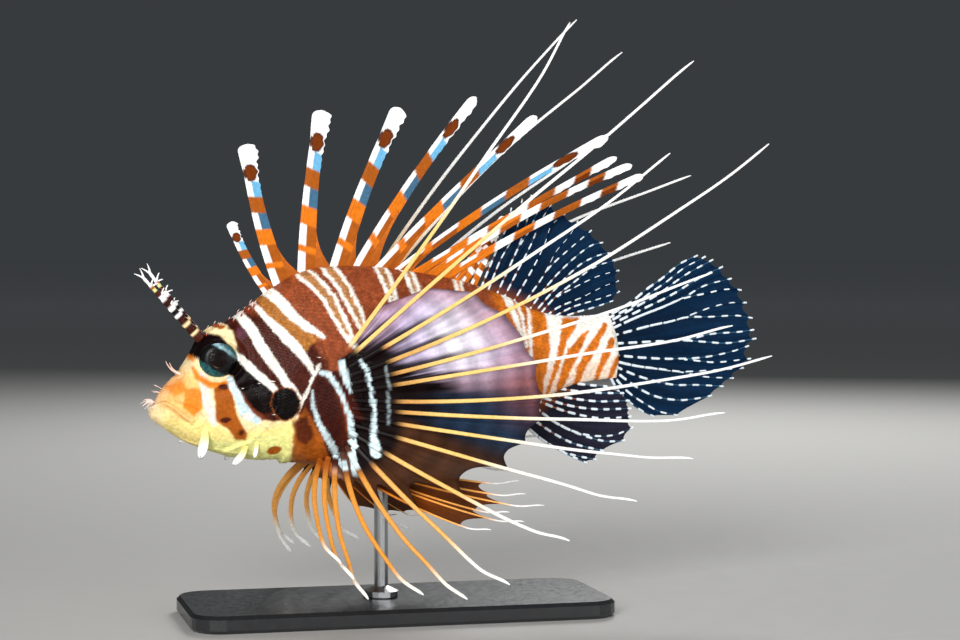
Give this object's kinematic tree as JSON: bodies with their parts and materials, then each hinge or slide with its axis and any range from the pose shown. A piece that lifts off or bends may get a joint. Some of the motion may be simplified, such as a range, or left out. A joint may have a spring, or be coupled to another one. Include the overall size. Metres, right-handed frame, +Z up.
{
  "type": "spotfin lionfish",
  "caption": "Life-size still model of a spotfin lionfish with fanned fins of long free filaments, banded dorsal spines and fringed feelers over the eyes, on a rod and flat base.",
  "frame": {"origin": "centre of the underside of the display base, on the surface it stands on", "axes": "+X from the head towards the tail, so the snout points to -X; -Y out of the left side of the fish, the side that the picture shows; +Z up"},
  "size_m": [0.1846, 0.0808, 0.1753],
  "materials": {
    "skin": "satin, as painted scaly skin with cream stripes on red-brown",
    "eye": "high gloss, black pupil with a teal iris",
    "fin": "satin, cream-yellow rays with white ends and a thin brown web",
    "spine": "satin, banded orange and white",
    "dark_fin": "satin, thin dark web with white-dashed rays",
    "feeler": "matte, banded dark brown and white",
    "stand_base": "satin black acrylic plate",
    "stand_rod": "satin"
  },
  "bodies": {
    "root": {"lower_jaw": "skin", "gill_cover_left": "skin", "gill_cover_right": "skin", "head": "skin", "trunk": "skin", "tail_root": "skin", "eye_left": "eye", "eye_right": "eye", "pectoral_fin_left": "fin", "pectoral_fin_right": "fin", "pelvic_fin_left": "fin", "pelvic_fin_right": "fin", "spiny_dorsal_fin": "spine", "soft_dorsal_fin": "dark_fin", "anal_fin": "dark_fin", "tail_fin": "dark_fin", "brow_feeler_left": "feeler", "brow_feeler_right": "feeler", "jaw_flap_left": "feeler", "jaw_flap_right": "feeler", "cheek_flap_left": "feeler", "cheek_flap_right": "feeler", "stand_base": "stand_base", "stand_rod": "stand_rod"}
  },
  "joints": []
}
